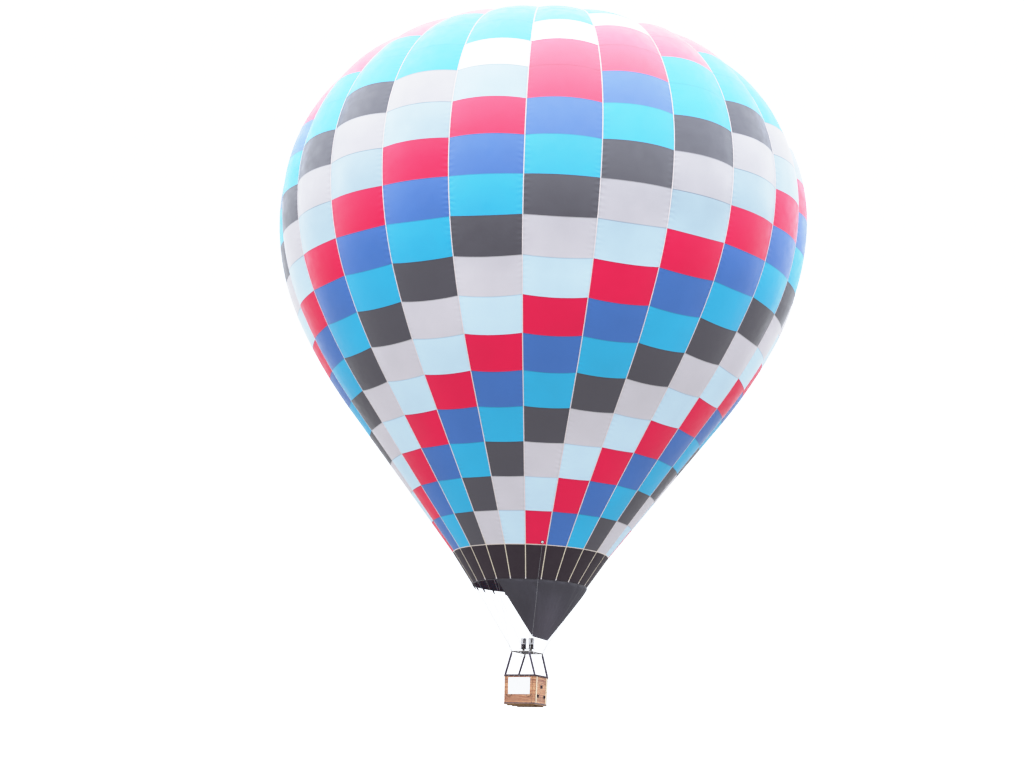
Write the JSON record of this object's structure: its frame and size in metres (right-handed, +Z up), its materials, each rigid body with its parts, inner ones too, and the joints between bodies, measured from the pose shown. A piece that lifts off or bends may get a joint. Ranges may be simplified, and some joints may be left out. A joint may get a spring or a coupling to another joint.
{
  "type": "hot air balloon",
  "caption": "Hot air balloon with a sewn inverted-teardrop envelope, scoop, parachute vent, gimballed burner and wicker basket.",
  "frame": {"origin": "on the balloon's axis, at the height where the envelope is widest, where the air holds it up", "axes": "+Z up along the envelope's axis, +X along the basket's long side, -Y out of the basket's front, where its banner hangs"},
  "size_m": [20.1792, 20.1792, 25.5674],
  "materials": {
    "envelope_cloth": "coated nylon in checks of red, blue, cyan, charcoal, warm grey and light blue",
    "black_cloth": "heat-proof black cloth",
    "parachute_cloth": "coated nylon",
    "webbing": "pale woven tape",
    "steel": "brushed, heat stained",
    "wire": "stranded steel",
    "alloy": "satin",
    "valve_block": "machined",
    "grip": "moulded",
    "padding": "padded black nylon",
    "wicker": "woven cane, varnished",
    "leather": "dark padded hide",
    "plywood": "marine plywood",
    "runner": "worn hardwood",
    "banner": "blank cloth",
    "cylinder": "brushed, in a padded jacket"
  },
  "bodies": {
    "airframe": {"envelope_lower_band": "black_cloth", "envelope_cone_lower": "envelope_cloth", "envelope_cone_upper": "envelope_cloth", "envelope_shoulder_lower": "envelope_cloth", "envelope_shoulder_upper": "envelope_cloth", "envelope_dome_lower": "envelope_cloth", "envelope_dome_middle": "envelope_cloth", "envelope_dome_upper": "envelope_cloth", "vent_tapes": "webbing", "crown_ring": "alloy", "mouth_hem": "webbing", "scoop": "black_cloth", "karabiner_right_front": "steel", "karabiner_right_back": "steel", "karabiner_left_back": "steel", "karabiner_left_front": "steel", "flying_wires_right_front": "wire", "flying_wires_right_back": "wire", "flying_wires_left_back": "wire", "flying_wires_left_front": "wire", "burner_load_frame": "steel", "upright_right_front": "padding", "upright_right_back": "padding", "upright_left_back": "padding", "upright_left_front": "padding", "basket_wall": "wicker", "basket_rim": "leather", "basket_floor": "plywood", "skid_1": "runner", "skid_2": "runner", "skid_3": "runner", "fuel_cylinder_right_front": "cylinder", "fuel_cylinder_right_back": "cylinder", "fuel_cylinder_left_back": "cylinder", "fuel_cylinder_left_front": "cylinder", "banner_blank": "banner"},
    "vent_panel": {"parachute_vent": "parachute_cloth"},
    "gimbal": {"gimbal_ring": "steel"},
    "burner": {"burner_block": "valve_block", "burner_coil_left": "steel", "burner_coil_right": "steel", "burner_can_left": "steel", "burner_can_right": "steel", "blast_handle_left": "grip", "blast_handle_right": "grip"}
  },
  "joints": [
    {"name": "vent_slide", "type": "slide", "parent": "airframe", "child": "vent_panel", "axis": [0, 0, 1], "range_m": [-1.2, 0], "stiffness_N_per_m": 200, "springref_m": 0.6},
    {"name": "gimbal_roll", "type": "hinge", "parent": "airframe", "child": "gimbal", "pos_m": [0, 0, -16.305], "axis": [0, 1, 0], "range_deg": [-15, 15]},
    {"name": "burner_pitch", "type": "hinge", "parent": "gimbal", "child": "burner", "pos_m": [0, 0, -16.305], "axis": [1, 0, 0], "range_deg": [-15, 15]}
  ]
}
